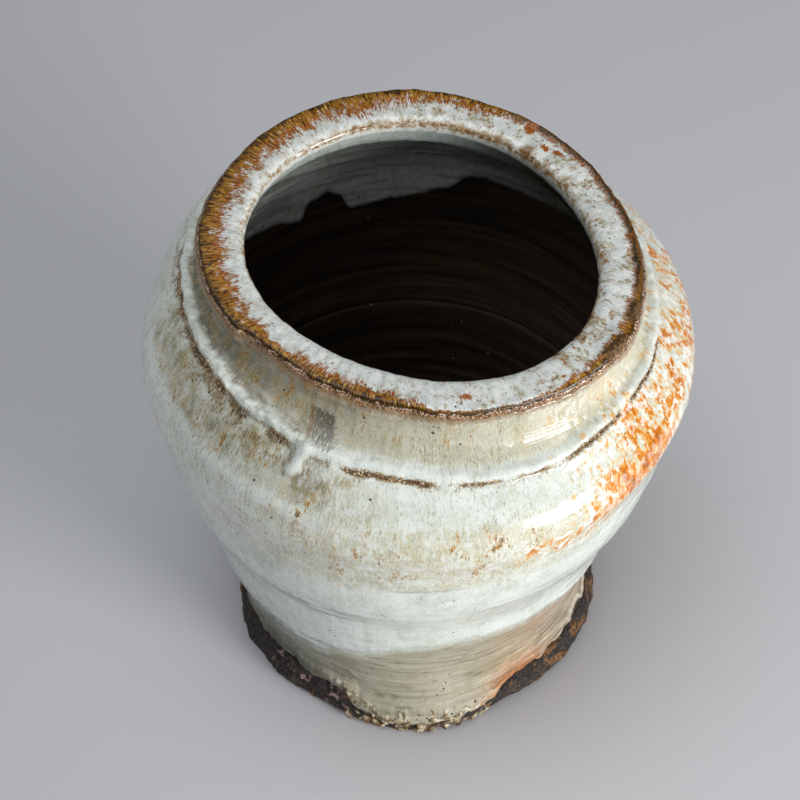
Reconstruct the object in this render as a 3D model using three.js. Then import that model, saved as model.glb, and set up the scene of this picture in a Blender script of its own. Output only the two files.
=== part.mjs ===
// Tsubo jar: a small stoneware storage jar with a broad flat mouth, a lapped collar and a rough slab foot.
// The pot is luted together from five clay sections, and two coats of pale glaze lie on the clay.
// Millimetres, +Z up. The origin is the middle of the foot's underside, and -Y is the front of the jar.
import * as THREE from "three";

// Heights of the clay, each one measured up from the station before it
const footThickness = 11;
const waistRise = 10;
const midWallRise = 24;
const trunkSeamRise = 23;
const trunkRise = 20;
const upperTrunkRise = 28;
const bellyRise = 14;
const shoulderRise = 12.5;
const collarRise = 11;
const neckRise = 12;
const lipThickness = 8.7;

// Outer radii of the clay at those stations: those round the belly are measured in from the belly, the neck
// from the collar, and the lip from the neck
const footRadius = 69;
const wallFootRadius = 67;
const waistRadius = 66;
const midWallRadius = 74.3;
const trunkSeamRadius = 80;
const trunkRadius = 88.3;
const bellyRadius = 98.6;
const upperTrunkInset = 3.2;
const shoulderInset = 4.3;
const collarInset = 13.2;
const neckInset = 10.9;
const lipOverhang = 1.5;

// Thicknesses of the clay and of the glaze
const wall = 8;
const neckWall = 8.5;
const lipWidth = 15;
const lipEdge = 4.2;
const lipRound = 1.2;
const mouthRound = 2.5;
const mouthUndercut = 0.6;
const collarLap = 1.8;
const tuckRise = 2.8;
const tuckDepth = 3.4;
const seatStep = 2;
const cove = 6;
const footBevel = 2.5;
const glaze = 0.9;
const glazeEdge = 0.25;

// How the pot settled while it was wet and in the fire
const leanRight = 5.75;
const leanBack = 6.6;
const mouthOval = 4.1;
const mouthOvalAngle = 145;
const mouthPoint = -1.6;
const mouthPointAngle = 12;
const mouthTiltRight = 0.42;
const mouthTiltFront = 2.53;
const collarSlant = 5;
const collarSlantAngle = -30;
const collarSlantSpread = 14;
const footShiftRight = 3.8;
const footShiftFront = 4.2;
const footCorner = 5.8;
const footCornerAngle = -88;
const footCornerSpread = 22;

// Facets round the jar, in each span of the outline and in each curve of the collar and the cove
const sides = 44;
const spanSteps = 2;
const neckSteps = 4;
const coveSteps = 3;
const mouthSteps = 3;

const { degToRad, euclideanModulo, smoothstep } = THREE.MathUtils;
const at = (radius, height) => new THREE.Vector2(radius, height);

// Heights above the ground
const wallFootZ = footThickness;
const waistZ = wallFootZ + waistRise;
const midWallZ = waistZ + midWallRise;
const trunkSeamZ = midWallZ + trunkSeamRise;
const trunkZ = trunkSeamZ + trunkRise;
const upperTrunkZ = trunkZ + upperTrunkRise;
const bellyZ = upperTrunkZ + bellyRise;
const shoulderZ = bellyZ + shoulderRise;
const collarZ = shoulderZ + collarRise;
const neckZ = collarZ + neckRise;
const rimZ = neckZ + lipThickness;

// Radii of the clay from the belly up
const upperTrunkRadius = bellyRadius - upperTrunkInset;
const shoulderRadius = bellyRadius - shoulderInset;
const collarRadius = bellyRadius - collarInset;
const neckRadius = collarRadius - neckInset;
const lipRadius = neckRadius + lipOverhang;

// The body's outline, from the slab up to the top of the shoulder, which is tucked under the collar's skirt,
// and the wall's inner line
const waist = at(waistRadius, waistZ);
const trunkSeam = at(trunkSeamRadius, trunkSeamZ);
const upperTrunk = at(upperTrunkRadius, upperTrunkZ);
const crease = at(collarRadius, collarZ);
const stations = [
  at(wallFootRadius, wallFootZ),
  waist,
  at(midWallRadius, midWallZ),
  trunkSeam,
  at(trunkRadius, trunkZ),
  upperTrunk,
  at(bellyRadius, bellyZ),
  at(shoulderRadius, shoulderZ),
  crease,
  at(collarRadius - tuckDepth, collarZ + tuckRise),
];
const bodyLine = new THREE.SplineCurve(stations);
const outward = stations.map((station, index) => {
  const along = bodyLine.getTangent(index / (stations.length - 1));
  return at(along.y, -along.x);
});
const offStation = (index, distance) => stations[index].clone().addScaledVector(outward[index], distance);
const innerLine = new THREE.SplineCurve(stations.map((station, index) => offStation(index, -wall)));
const lastStep = (stations.length - 1) * spanSteps;
const outer = bodyLine.getPoints(lastStep);
const inner = innerLine.getPoints(lastStep);
const stepOf = (station) => stations.indexOf(station) * spanSteps;
const waistStep = stepOf(waist);
const seamStep = stepOf(trunkSeam);
const innerGlazeStep = stepOf(upperTrunk);

// The collar: a skirt lapped over the top of the shoulder, and a hollow neck above it
const lapStep = stepOf(crease);
const skirtFoot = offStation(stations.indexOf(crease), collarLap);
const skirtTop = offStation(stations.length - 1, collarLap);
const neckTop = at(neckRadius, neckZ);
const neckInside = neckRadius - neckWall;
const neckMiddle = neckRadius - neckWall / 2;
const neckLine = new THREE.QuadraticBezierCurve(skirtTop, at(neckRadius, skirtTop.y), neckTop);
const throatTop = at(neckInside, neckZ + seatStep);
const throatLine = new THREE.QuadraticBezierCurve(
  throatTop,
  at(neckInside, inner[lastStep].y),
  inner[lastStep],
);
const neckOutside = neckLine.getPoints(neckSteps);
const throat = throatLine.getPoints(neckSteps);

// The mouth ring's outline, from the top of its outer edge over the rim and into the neck
const mouthRadius = lipRadius - lipWidth;
const lipFoot = at(lipRadius, rimZ - lipEdge);
const rimOuter = at(lipRadius - lipRound, rimZ);
const mouthArc = arc(at(mouthRadius + mouthRound, rimZ - mouthRound), mouthRound, 90, 180, mouthSteps);
const mouthFoot = at(mouthRadius + mouthUndercut, throatTop.y + mouthUndercut);

// The steps that locate one section on the next
const wallSeat = wallFootRadius - wall / 2;
const floorZ = footThickness + seatStep;

function arc(centre, radius, from, to, steps) {
  const points = [];
  for (let step = 0; step <= steps; step += 1) {
    const angle = degToRad(from + ((to - from) * step) / steps);
    points.push(at(centre.x + radius * Math.cos(angle), centre.y + radius * Math.sin(angle)));
  }
  return points;
}

function slabProfile() {
  return [
    at(0, 0),
    at(footRadius - footBevel, 0),
    at(footRadius, footBevel),
    at(footRadius, footThickness - footBevel),
    at(wallFootRadius, footThickness),
    at(wallSeat, footThickness),
    at(wallSeat, floorZ),
    at(0, floorZ),
  ];
}

function lowerWallProfile() {
  const foot = inner[waistStep];
  const round = Math.min(cove, (foot.y - floorZ) / 2);
  return [
    ...outer.slice(0, seamStep + 1),
    ...inner.slice(waistStep, seamStep + 2).reverse(),
    ...arc(at(foot.x - round, floorZ + round), round, 0, -90, coveSteps),
    at(wallSeat, floorZ),
    at(wallSeat, footThickness),
  ];
}

function shoulderProfile() {
  return [...outer.slice(seamStep), ...inner.slice(seamStep + 1).reverse()];
}

function collarProfile() {
  return [
    skirtFoot,
    ...neckOutside,
    at(neckMiddle, neckZ),
    at(neckMiddle, throatTop.y),
    ...throat,
    ...outer.slice(lapStep).reverse(),
  ];
}

function mouthRingProfile() {
  return [
    neckTop,
    lipFoot,
    at(lipRadius, rimZ - lipRound),
    rimOuter,
    ...mouthArc,
    mouthFoot,
    throatTop,
    at(neckMiddle, throatTop.y),
    at(neckMiddle, neckZ),
  ];
}

// A coat of glaze on a line of clay: the clay's own points, and the same points moved out along the normals.
function coatProfile(clay) {
  const skin = clay.map((point, step) => {
    const before = normalOf(clay, Math.max(step - 1, 0));
    const after = normalOf(clay, Math.min(step, clay.length - 2));
    const isEnd = step === 0 || step === clay.length - 1;
    const depth = isEnd ? glazeEdge : glaze;
    const mitre = before.clone().add(after).multiplyScalar(depth / (1 + before.dot(after)));
    return point.clone().add(mitre);
  });
  return [...skin, ...clay.slice().reverse()];
}

function normalOf(line, segment) {
  const along = line[segment + 1].clone().sub(line[segment]).normalize();
  return at(along.y, -along.x);
}

function bodyGlazeProfile() {
  return coatProfile([...outer.slice(1, lapStep + 1), skirtFoot, ...neckOutside, lipFoot]);
}

function mouthGlazeProfile() {
  const inside = inner.slice(innerGlazeStep, lastStep).reverse();
  return coatProfile([rimOuter, ...mouthArc, mouthFoot, ...throat, ...inside]);
}

// The slab's outline: pushed off centre, with a blunt corner at the front.
function footReach(angle) {
  const turn = euclideanModulo(angle - degToRad(footCornerAngle) + Math.PI, 2 * Math.PI) - Math.PI;
  const corner = footCorner * Math.exp(-((turn / degToRad(footCornerSpread)) ** 2));
  return footShiftRight * Math.cos(angle) - footShiftFront * Math.sin(angle) + corner;
}

function mouthReach(angle) {
  const oval = mouthOval * Math.cos(2 * (angle - degToRad(mouthOvalAngle)));
  return oval + mouthPoint * Math.cos(3 * (angle - degToRad(mouthPointAngle)));
}

// Moves a point of the true round jar to where the settled jar has it.
function settle(point) {
  const angle = Math.atan2(point.y, point.x);
  const low = 1 - smoothstep(point.z, 0, midWallZ);
  const high = smoothstep(point.z, trunkSeamZ, rimZ);
  const top = smoothstep(point.z, shoulderZ, rimZ);
  const reach = 1 + (low * footReach(angle)) / footRadius + (top * mouthReach(angle)) / lipRadius;
  const x = point.x * reach;
  const y = point.y * reach;
  const tilt = y * Math.tan(degToRad(mouthTiltFront)) - x * Math.tan(degToRad(mouthTiltRight));
  const nearCollar = Math.exp(-(((point.z - collarZ) / collarSlantSpread) ** 2));
  const slant = collarSlant * nearCollar * Math.cos(angle - degToRad(collarSlantAngle));
  const lean = (leanRight * point.z) / rimZ;
  return point.set(x + lean, y + leanBack * high, point.z + high * tilt - slant);
}

// Triangles of a turned profile. Each quad is split from the lower of its two profile points, so that two
// sections which share a line of points share its triangles too.
function weave(profile) {
  const rows = profile.length;
  const stride = rows + 1;
  const vertex = (side, row) => (profile[row].x === 0 ? row : (side % sides) * stride + row);
  const isLower = (one, other) => one.y < other.y || (one.y === other.y && one.x < other.x);
  const triangles = [];
  for (let side = 0; side < sides; side += 1) {
    for (let row = 0; row < rows; row += 1) {
      const next = (row + 1) % rows;
      const quad = [vertex(side, row), vertex(side + 1, row), vertex(side + 1, next), vertex(side, next)];
      const [a, b, c, d] = quad;
      const rises = isLower(profile[row], profile[next]);
      const pair = rises ? [[a, b, c], [a, c, d]] : [[a, b, d], [b, c, d]];
      pair
        .filter((corners) => new Set(corners).size === corners.length)
        .forEach((corners) => triangles.push(...corners));
    }
  }
  return triangles;
}

function turned(name, profile, colour, roughness) {
  const geometry = new THREE.LatheGeometry([...profile, profile[0]], sides).rotateX(Math.PI / 2);
  const position = geometry.getAttribute("position");
  const point = new THREE.Vector3();
  for (let index = 0; index < position.count; index += 1) {
    settle(point.fromBufferAttribute(position, index));
    position.setXYZ(index, point.x, point.y, point.z);
  }
  geometry.setIndex(weave(profile));
  geometry.computeVertexNormals();
  const material = new THREE.MeshStandardMaterial({ color: colour, roughness, metalness: 0 });
  const mesh = new THREE.Mesh(geometry, material);
  mesh.name = name;
  return mesh;
}

const jar = new THREE.Group();
jar.add(
  turned("foot_slab", slabProfile(), 0x3c2d28, 0.9),
  turned("lower_wall", lowerWallProfile(), 0x5a4433, 0.85),
  turned("shoulder_wall", shoulderProfile(), 0x5a4433, 0.85),
  turned("neck_collar", collarProfile(), 0x6b5138, 0.85),
  turned("mouth_ring", mouthRingProfile(), 0x5c4128, 0.8),
  turned("body_glaze", bodyGlazeProfile(), 0xc9cfc2, 0.25),
  turned("mouth_glaze", mouthGlazeProfile(), 0xd8dedb, 0.25),
);

export default jar;
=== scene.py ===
import itertools
import math

import bpy
import numpy as np
from mathutils import Matrix, Vector


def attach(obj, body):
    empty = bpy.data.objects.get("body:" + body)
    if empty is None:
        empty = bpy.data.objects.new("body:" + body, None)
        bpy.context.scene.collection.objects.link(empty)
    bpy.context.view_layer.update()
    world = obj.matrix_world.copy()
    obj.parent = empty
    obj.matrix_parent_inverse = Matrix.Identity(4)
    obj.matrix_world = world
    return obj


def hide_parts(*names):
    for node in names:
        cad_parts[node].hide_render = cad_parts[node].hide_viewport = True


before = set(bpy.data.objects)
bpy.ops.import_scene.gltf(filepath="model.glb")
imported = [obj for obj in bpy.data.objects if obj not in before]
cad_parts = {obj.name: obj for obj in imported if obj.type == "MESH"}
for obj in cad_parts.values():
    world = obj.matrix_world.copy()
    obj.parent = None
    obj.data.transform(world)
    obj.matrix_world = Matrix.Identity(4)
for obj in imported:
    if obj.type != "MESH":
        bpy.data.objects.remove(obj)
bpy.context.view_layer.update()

# The jar's sizes in millimetres, as the CAD has them. An outline's points are radius and height of the clay.
MM = 0.001
FOOT_RADIUS = 69.0
FOOT_TOP = 11.0
FLOOR_TOP = 13.0
WALL_SEAT = 63.0
WALL = 8.0
MID_WALL_Z = 45.0
TRUNK_SEAM_Z = 68.0
SHOULDER_Z = 142.5
COLLAR_Z = 153.5
NECK_Z = 165.5
NECK_RADIUS = 74.5
NECK_WALL = 8.5
RIM_Z = 174.2
LIP_RADIUS = 76.0
LIP_WIDTH = 15.0
LIP_EDGE = 4.2
LIP_ROUND = 1.2
MOUTH_ROUND = 2.5
RABBET_RADIUS = NECK_RADIUS - NECK_WALL / 2
THROAT_RADIUS = NECK_RADIUS - NECK_WALL
THROAT_TOP = 167.5
THROAT_FOOT = (THROAT_RADIUS + 0.6, 158.0)
RABBET = [(RABBET_RADIUS, NECK_Z), (RABBET_RADIUS, THROAT_TOP), (THROAT_RADIUS, THROAT_TOP)]
WALL_FOOT = [(57.6, 18), (54, 14.2), (50, FLOOR_TOP), (WALL_SEAT, FLOOR_TOP), (WALL_SEAT, FOOT_TOP)]
FOOT_EDGE = np.array([(FOOT_RADIUS, 1), (FOOT_RADIUS, 8.5)])
TRUNK = np.array([
    (67, 11), (66, 21), (74.3, 45), (80, 68), (88.3, 88), (95.4, 116), (98.6, 130), (94.3, 142.5),
    (85.4, 153.5),
])
NECK = np.array([(81.2, 157.0), (76.9, 160.2), (74.6, 165.0), (LIP_RADIUS, 170.0)])
LIP_FOOT = (LIP_RADIUS, 173.0)
TRUNK_STEPS = 24
NECK_STEPS = 16

# How the pot settled in the fire, as the CAD has it: millimetres and degrees.
LEAN_RIGHT = 5.75
LEAN_BACK = 6.6
MOUTH_OVAL, MOUTH_OVAL_ANGLE = 4.1, 145.0
MOUTH_POINT, MOUTH_POINT_ANGLE = -1.6, 12.0
MOUTH_TILT_RIGHT, MOUTH_TILT_FRONT = 0.42, 2.53
COLLAR_SLANT, COLLAR_SLANT_ANGLE, COLLAR_SLANT_SPREAD = 5.0, -30.0, 14.0
FOOT_SHIFT_RIGHT, FOOT_SHIFT_FRONT = 3.8, 4.2
FOOT_CORNER, FOOT_CORNER_ANGLE, FOOT_CORNER_SPREAD = 5.8, -88.0, 22.0

# The glaze: thicknesses in millimetres.
GLAZE = 0.9
THIN_GLAZE = 0.4
LEAST_GLAZE = 0.25
GLAZE_EDGE = 0.12
LAP = 1.9

# Marks in one place: degrees round the jar, where the front is -90 and the right 0, and millimetres.
DRIP_ANGLE, DRIP_LEAN, DRIP_RADIUS = -118.0, 0.3, 87.0
DRIP_END, DRIP_TOP, DRIP_HALF_WIDTH = -6.0, 1.5, 2.0
TRIM_Z = 106.3
RIDGE_Z, RIDGE_HOLLOW_Z = 138.0, 144.5
RIDGE_SPAN = (-172, -103, 10)
SOOT_ANGLE, SOOT_Z, SOOT_LEAN = -116.2, 160.5, 0.28
HEART_ANGLE, HEART_Z = -43.0, 129.0
COMB_SPACING = 1.15

# Where the bare gritty line under the collar shows: from angle, to angle, how strongly.
BARE_STRETCHES = (
    (-179, -164, 1.4), (-160, -148, 1.4), (-146, -139, 1.2), (-134, -124, 0.9), (-114.4, -111.6, 0.8),
    (-109, -87, 1.0), (-82, -72, 0.8), (-69, -60, 0.7), (-56, -38, 1.0), (-34, -14, 1.0), (24, 52, 0.8),
    (78, 108, 0.7), (132, 158, 0.9),
)

# How far the collar's ledge lies up the outline from its usual place: angle, millimetres.
LEDGE_RISE = (
    (-180, 4.2), (-165, 3.4), (-150, 2.2), (-135, 1.4), (-120, 0.3), (-60, 0), (-48, 1.6), (-36, 3.4),
    (28, 3.4), (60, 1.5), (120, 2.5), (150, 3.8),
)

# How far the burnt ochre reaches in from the lip's outer edge: angle, millimetres.
LIP_BURN = (
    (-180, 8.4), (-158, 8.0), (-146, 6.0), (-137, 3.0), (-130, 5.2), (-118, 5.2), (-103, 4.0), (-93, 2.8),
    (-87, 0.7), (-75, 0.6), (-58, 0.8), (-44, 3.0), (-28, 4.2), (-12, 3.6), (20, 3.2), (45, 3.6), (58, 4.6),
    (75, 5.4), (92, 6.6), (107, 8.2), (140, 8.4), (160, 8.8),
)

# Rust spots on the lip: angle, millimetres in from its edge.
LIP_SPOTS = ((-78.5, 6.5), (47.0, 8.0), (42.5, 6.6))

# Where the glaze inside the mouth stops: angle, height in millimetres.
INSIDE_EDGE = (
    (-180, 116), (-150, 119), (-110, 115), (-70, 120), (-20, 116), (20, 119), (48, 122), (58, 123), (68, 124),
    (77, 124.5), (83, 118.5), (94, 115.5), (104, 113.5), (107, 113.5), (110, 119.5), (113, 122), (117, 120),
    (121, 115), (130, 117), (140, 118.5), (160, 117),
)
INSIDE_EDGE_USUAL = 117

# Where the thick glaze ends on the lower wall: angle, height in millimetres.
STEP_EDGE = (
    (-180, 17), (-157, 19), (-136, 27), (-122, 32), (-104, 43), (-90, 51), (-77, 55), (-52, 54), (-34, 49),
    (0, 44), (60, 34), (120, 22),
)

# The meshes: points round each piece, and how many rows of a glaze's front share one of its back. The
# textures: the radius in millimetres of the cylinder they are wrapped on, and the shift between layers.
BODY_GLAZE_SIDES, BODY_GLAZE_BACK = 600, 8
MOUTH_GLAZE_SIDES, MOUTH_GLAZE_BACK = 720, 6
MOUTH_RING_SIDES = 1200
CLAY_SIDES = 480
FOOT_SIDES = 720
FLOW_RADIUS = 80.0
LAYER_SHIFT = 31.7

# The studio: light from all round and its glow overhead, the floor and the camera, in metres.
AMBIENT = 0.08
OVERHEAD_FROM = [-0.25, 0.0, 0.97]
OVERHEAD = 2.6
OVERHEAD_FOCUS = 10.0
SKY_COLOUR = [0.93, 0.97, 1.0, 1.0]
FLOOR_HALF = 3.0
FLOOR_COLOUR = (206, 205, 208)
LIGHT_TARGET = (0, 0, 0.1)
CAMERA_PLACE = (0, -0.6296, 0.8202)
CAMERA_FORWARD = (-0.00245, 0.65827, -0.75278)
CAMERA_LENS, CAMERA_SENSOR = 117.0, 36.0


# Curves and noise


def smooth(value, low, high):
    """0 below low, 1 above high, and a smooth rise between them."""
    share = np.clip((value - low) / (high - low), 0, 1)
    return share * share * (3 - 2 * share)


def band(value, low, full, fade, end):
    """0 below low, 1 from full to fade, and 0 above end."""
    return smooth(value, low, full) * (1 - smooth(value, fade, end))


def bump(value, spread):
    return np.exp(-((value / spread) ** 2))


def turn(deg, centre):
    """Signed angle from centre, in degrees."""
    return (deg - centre + 180) % 360 - 180


def round_the_jar(deg, table):
    """Smooth values round the jar from a short list of (angle, value)."""
    angles, values = np.array(table, float).T
    angles = np.append(angles, angles[0] + 360)
    values = np.append(values, values[0])
    place = angles[0] + (deg - angles[0]) % 360
    before = np.clip(np.searchsorted(angles, place, "right") - 1, 0, len(table) - 1)
    share = smooth(place, angles[before], angles[before + 1])
    return values[before] + share * (values[before + 1] - values[before])


def gradient_noise(points, seed):
    """Seeded gradient noise, from about -1 to 1."""
    rng = np.random.default_rng(seed)
    order = rng.permutation(256)
    slopes = rng.normal(size=(256, 3))
    slopes /= np.linalg.norm(slopes, axis=1, keepdims=True)
    cell = np.floor(points).astype(int)
    local = points - cell
    fade = local**3 * (local * (local * 6 - 15) + 10)
    total = np.zeros(points.shape[:-1])
    for corner in itertools.product((0, 1), repeat=3):
        index = np.zeros(points.shape[:-1], int)
        weight = np.ones(points.shape[:-1])
        for axis, step in enumerate(corner):
            index = order[(index + cell[..., axis] + step) & 255]
            weight = weight * (fade[..., axis] if step else 1 - fade[..., axis])
        total += weight * np.sum(slopes[index] * (local - np.array(corner)), axis=-1)
    return 1.6 * total


class Places:
    """Places on the jar: angle round it in degrees, and length along an outline in millimetres."""

    def __init__(self, deg, along):
        self.deg, self.along = np.broadcast_arrays(deg, along)

    def flow(self, radius=FLOW_RADIUS):
        """Where the textures have these places: round a cylinder of that radius."""
        angle = np.radians(self.deg)
        return np.stack([radius * np.cos(angle), radius * np.sin(angle), self.along], -1)

    def noise(self, width, length, seed, octaves=1):
        """Noise with features of that width round the jar and length along it, and finer octaves."""
        x, y, z = np.moveaxis(self.flow(), -1, 0)
        points = np.stack([x / width, y / width, z / length], -1)
        return sum(gradient_noise(points * 2**octave, seed + octave) / 2**octave for octave in range(octaves))

    def ring(self, width, seed):
        """Noise that changes only round the jar."""
        return Places(self.deg, 0).noise(width, 1, seed)

    def span(self, start, end, soft):
        """1 from start to end round the jar, in degrees, with soft ends."""
        half = ((end - start) % 360) / 2
        return 1 - smooth(np.abs(turn(self.deg, start + half)), half - soft, half + soft)


def grid(places, sides):
    """Every place along an outline at every one of the angles round the jar."""
    return Places(np.arange(sides) * 360.0 / sides - 180.0, np.asarray(places)[:, None])


def rows(start, *stops):
    """Places along an outline from the start on, by pairs of (up to here, with this spacing)."""
    places = [[start]]
    for end, spacing in stops:
        steps = max(1, round(abs(end - start) / spacing))
        places.append(np.linspace(start, end, steps + 1)[1:])
        start = end
    return np.concatenate(places)


def spline(points, per_span):
    """The smooth curve through the points that the CAD draws."""
    padded = np.vstack([points[:1], points, points[-1:]])
    shares = np.arange(per_span)[:, None] / per_span
    spans = []
    for before, start, end, after in zip(padded, padded[1:], padded[2:], padded[3:]):
        leave = (end - before) / 2
        arrive = (after - start) / 2
        cubic = 2 * start - 2 * end + leave + arrive
        square = 3 * end - 3 * start - 2 * leave - arrive
        spans.append(cubic * shares**3 + square * shares**2 + leave * shares + start)
    return np.vstack([*spans, points[-1:]])


def lengths(line):
    steps = np.hypot(*np.diff(line, axis=0).T)
    return np.concatenate([[0], np.cumsum(steps)])


def resampled(line, spacing):
    along = lengths(line)
    places = np.linspace(0, along[-1], max(2, round(along[-1] / spacing) + 1))
    return np.stack([np.interp(places, along, line[:, axis]) for axis in range(2)], -1)


def rounded(line, sigma):
    """The line with its corners eased, its ends kept."""
    reach = int(3 * sigma)
    kernel = np.exp(-0.5 * (np.arange(-reach, reach + 1) / sigma) ** 2)
    kernel /= kernel.sum()
    padded = np.vstack([2 * line[0] - line[reach:0:-1], line, 2 * line[-1] - line[-2 : -reach - 2 : -1]])
    return np.stack([np.convolve(padded[:, axis], kernel, "valid") for axis in range(2)], -1)


def normals(line):
    """Unit normals to the right of the line's way."""
    slope = np.gradient(line, axis=0)
    slope /= np.linalg.norm(slope, axis=1, keepdims=True)
    return np.stack([slope[:, 1], -slope[:, 0]], -1)


class Outline:
    """A profile of radius and height, looked up by the length along it."""

    def __init__(self, line, ease=4):
        self.line = rounded(resampled(line, 0.25), ease)
        self.along = lengths(self.line)
        self.normal = normals(self.line)
        self.end = self.along[-1]

    def height(self, along):
        return np.interp(along, self.along, self.line[:, 1])

    def at_height(self, height):
        return np.interp(height, self.line[:, 1], self.along)

    def offset(self, along, depth):
        """Radius and height of the points that lie depth off the line."""
        columns = (*self.line.T, *self.normal.T)
        radius, height, out, up = (np.interp(along, self.along, column) for column in columns)
        return radius + depth * out, height + depth * up


# The jar's form


def foot_reach(deg):
    angle = np.radians(deg)
    corner = FOOT_CORNER * bump(turn(deg, FOOT_CORNER_ANGLE), FOOT_CORNER_SPREAD)
    return FOOT_SHIFT_RIGHT * np.cos(angle) - FOOT_SHIFT_FRONT * np.sin(angle) + corner


def mouth_reach(deg):
    oval = MOUTH_OVAL * np.cos(2 * np.radians(deg - MOUTH_OVAL_ANGLE))
    return oval + MOUTH_POINT * np.cos(3 * np.radians(deg - MOUTH_POINT_ANGLE))


def settled(deg, radius, height):
    """Where the settled jar has a point of the true round jar, in metres."""
    angle = np.radians(deg)
    low = 1 - smooth(height, 0, MID_WALL_Z)
    high = smooth(height, TRUNK_SEAM_Z, RIM_Z)
    top = smooth(height, SHOULDER_Z, RIM_Z)
    reach = 1 + low * foot_reach(deg) / FOOT_RADIUS + top * mouth_reach(deg) / LIP_RADIUS
    x = radius * np.cos(angle) * reach
    y = radius * np.sin(angle) * reach
    tilt = y * math.tan(math.radians(MOUTH_TILT_FRONT)) - x * math.tan(math.radians(MOUTH_TILT_RIGHT))
    near_collar = bump(height - COLLAR_Z, COLLAR_SLANT_SPREAD)
    slant = COLLAR_SLANT * near_collar * np.cos(np.radians(deg - COLLAR_SLANT_ANGLE))
    place = [x + LEAN_RIGHT * height / RIM_Z, y + LEAN_BACK * high, height + high * tilt - slant]
    return np.stack(place, -1) * MM


def skin_line():
    """The clay's outside, from the foot's edge up to the lip's."""
    neck = spline(np.vstack([TRUNK[-1:], NECK]), NECK_STEPS)
    return np.vstack([FOOT_EDGE, spline(TRUNK, TRUNK_STEPS), neck[1:], [LIP_FOOT]])


def inner_line():
    """The wall's inside, from the end of the foot's curve up to the throat."""
    curve = spline(TRUNK, TRUNK_STEPS)
    return (curve - WALL * normals(curve))[TRUNK_STEPS:]


def mouth_line():
    """Over the lip from the foot of its edge, round the mouth and down the inside."""
    mouth = LIP_RADIUS - LIP_WIDTH
    edge = [(LIP_RADIUS, RIM_Z - LIP_EDGE), (LIP_RADIUS, RIM_Z - LIP_ROUND), (LIP_RADIUS - LIP_ROUND, RIM_Z)]
    angles = np.radians(np.linspace(90, 180, 7))
    centre = np.array([mouth + MOUTH_ROUND, RIM_Z - MOUTH_ROUND])
    arc = centre + MOUTH_ROUND * np.stack([np.cos(angles), np.sin(angles)], -1)
    throat = [(mouth + 0.6, THROAT_TOP + 0.6), (THROAT_RADIUS, THROAT_TOP - 1), THROAT_FOOT]
    return np.vstack([edge, arc, throat, resampled(INNER.line, 1.0)[::-1]])


SKIN = Outline(skin_line())
FOOT_LINE = SKIN.at_height(10.0)
LEDGE = SKIN.at_height(COLLAR_Z)
LIP_LINE = SKIN.at_height(172.4)
INNER = Outline(inner_line())
MOUTH = Outline(mouth_line(), ease=3)
RIM_CORNER = LIP_EDGE - LIP_ROUND + 1.0
LIP_END = RIM_CORNER + LIP_WIDTH - LIP_ROUND - MOUTH_ROUND


# Meshes


def store(mesh, key, values):
    """Keeps a value for each point: a number, a direction or a colour."""
    kinds = {1: ("FLOAT", "value"), 3: ("FLOAT_VECTOR", "vector"), 4: ("FLOAT_COLOR", "color")}
    kind, field = kinds[values.shape[1] if values.ndim > 1 else 1]
    mesh.attributes.new(key, kind, "POINT").data.foreach_set(field, values.ravel())


def placed(name, data):
    """A new object in the scene."""
    item = bpy.data.objects.new(name, data)
    bpy.context.scene.collection.objects.link(item)
    return item


def shell(name, rings, attributes, closed=True):
    """A mesh from rings of points: the rings close on themselves, or end in a middle point."""
    count, sides = rings.shape[:2]
    points = list(rings.reshape(-1, 3))
    values = {key: list(value.reshape(count * sides, *value.shape[2:])) for key, value in attributes.items()}
    ring = np.arange(count if closed else count - 1)[:, None]
    side = np.arange(sides)
    after = (ring + 1) % count
    beside = (side + 1) % sides
    quads = [ring * sides + side, ring * sides + beside, after * sides + beside, after * sides + side]
    faces = np.stack(quads, -1).reshape(-1, 4).tolist()
    for edge in () if closed else (0, count - 1):
        first = edge * sides
        middle = len(points)
        points.append(np.mean(points[first : first + sides], axis=0))
        for value in values.values():
            value.append(np.mean(value[first : first + sides], axis=0))
        for step in range(sides):
            pair = [first + step, first + (step + 1) % sides]
            faces.append([middle, *(pair if edge else pair[::-1])])
    mesh = bpy.data.meshes.new(name)
    mesh.from_pydata(np.array(points).tolist(), [], faces)
    for key, value in values.items():
        store(mesh, key, np.array(value, np.float32))
    mesh.update()
    mesh.shade_smooth()
    return placed(name, mesh)


def coat(name, front, back, step, attributes):
    """A coat of glaze: every row of its front, and every step-th row of its back."""
    count = len(front)
    kept = np.unique([*range(0, count, step), count - 1])[::-1]
    order = np.concatenate([np.arange(count), kept])
    values = {key: value[order] for key, value in attributes.items()}
    return shell(name, np.concatenate([front, back[kept]]), values)


def under(relief, reach):
    """The lowest relief within reach rows, so that a coarse back stays behind its fine front."""
    return np.min([np.roll(relief, step, axis=0) for step in range(-reach, reach + 1)], axis=0)


def corner_rings(corners, sides):
    """Plain rings of the settled jar at corners of radius and height."""
    deg = grid([0], sides).deg[0]
    return np.array([settled(deg, *corner) for corner in corners])


def dress(piece, node, material):
    """Sets a finished piece in the frame in place of its CAD node."""
    piece.data.materials.append(material)
    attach(piece, "root")
    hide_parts(node)


def linear(red, green, blue):
    """A screen colour from 0 to 255 as linear light."""
    share = np.array([red, green, blue]) / 255
    return np.where(share <= 0.04045, share / 12.92, ((share + 0.055) / 1.055) ** 2.4)


def layered(colour, layers):
    """The screen colour with (colour, share) layers over it, for every place."""
    tint = linear(*colour)
    for shade, share in layers:
        tint = tint + (linear(*shade) - tint) * np.clip(share, 0, 1)[..., None]
    return np.concatenate([np.clip(tint, 0, 1), np.ones(tint.shape[:-1] + (1,))], -1)


# The outside's relief


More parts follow.
